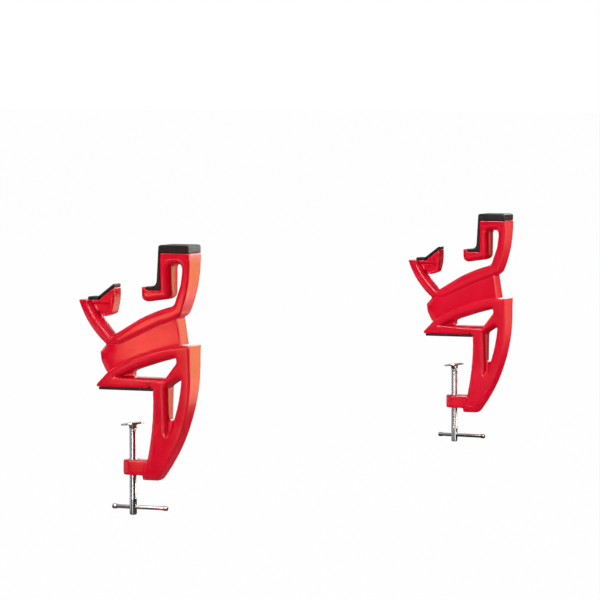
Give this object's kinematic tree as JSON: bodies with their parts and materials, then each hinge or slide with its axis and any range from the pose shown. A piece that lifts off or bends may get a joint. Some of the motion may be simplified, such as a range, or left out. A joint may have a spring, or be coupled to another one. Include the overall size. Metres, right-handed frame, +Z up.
{
  "type": "ski tuning vise set",
  "caption": "Pair of red moulded vises with rubber-lined hooks that cradle a ski, on C clamps with swivel screws for a bench edge.",
  "frame": {"origin": "where the axis of the near vise's screw meets the underside of its jaw pad, which rests on the bench top", "axes": "+X from the worker's side to the back of the bench edge, +Y along the bench edge and the ski, from the near vise to the far one, +Z up"},
  "size_m": [0.1348, 0.9528, 0.29],
  "materials": {
    "red_plastic": "glossy moulded",
    "black_rubber": "matt",
    "bright_steel": "polished",
    "plain_steel": "zinc plated"
  },
  "bodies": {
    "vises": {"near_body": "red_plastic", "near_post_liner": "black_rubber", "near_arm_liner": "black_rubber", "near_jaw_pad": "black_rubber", "near_thread_nut": "plain_steel", "far_body": "red_plastic", "far_post_liner": "black_rubber", "far_arm_liner": "black_rubber", "far_jaw_pad": "black_rubber", "far_thread_nut": "plain_steel"},
    "near_carriage": {"near_thrust_washer": "plain_steel"},
    "near_disc": {"near_pressure_disc": "bright_steel"},
    "near_screw": {"near_clamp_screw": "bright_steel"},
    "near_bar": {"near_tommy_bar": "bright_steel", "near_bar_stop_back": "bright_steel", "near_bar_stop_front": "bright_steel"},
    "far_carriage": {"far_thrust_washer": "plain_steel"},
    "far_disc": {"far_pressure_disc": "bright_steel"},
    "far_screw": {"far_clamp_screw": "bright_steel"},
    "far_bar": {"far_tommy_bar": "bright_steel", "far_bar_stop_back": "bright_steel", "far_bar_stop_front": "bright_steel"}
  },
  "joints": [
    {"name": "near_screw_travel", "type": "slide", "parent": "vises", "child": "near_carriage", "axis": [0, 0, 1], "range_m": [-0.0301, 0.0251]},
    {"name": "near_screw_turn", "type": "hinge", "parent": "near_carriage", "child": "near_screw", "pos_m": [0, 0, -0.09], "axis": [0, 0, 1], "range_deg": [-8640, 7200]},
    {"name": "near_disc_tilt", "type": "hinge", "parent": "near_carriage", "child": "near_disc", "pos_m": [0, 0, -0.0396], "axis": [0, 1, 0], "range_deg": [0, 13]},
    {"name": "near_bar_slide", "type": "slide", "parent": "near_screw", "child": "near_bar", "axis": [1, 0, 0], "range_m": [-0.0317, 0.0153]},
    {"name": "far_screw_travel", "type": "slide", "parent": "vises", "child": "far_carriage", "axis": [0, 0, 1], "range_m": [-0.0301, 0.0251]},
    {"name": "far_screw_turn", "type": "hinge", "parent": "far_carriage", "child": "far_screw", "pos_m": [0, 0.92, -0.09], "axis": [0, 0, 1], "range_deg": [-8640, 7200]},
    {"name": "far_disc_tilt", "type": "hinge", "parent": "far_carriage", "child": "far_disc", "pos_m": [0, 0.92, -0.0396], "axis": [0, 1, 0], "range_deg": [0, 13]},
    {"name": "far_bar_slide", "type": "slide", "parent": "far_screw", "child": "far_bar", "axis": [0.9952, -0.0976, 0], "range_m": [-0.0339, 0.0131]}
  ],
  "couplings": [
    {"joint": "near_screw_travel", "follows": "near_screw_turn", "m_per_rad": 0.00019894},
    {"joint": "far_screw_travel", "follows": "far_screw_turn", "m_per_rad": 0.00019894}
  ]
}
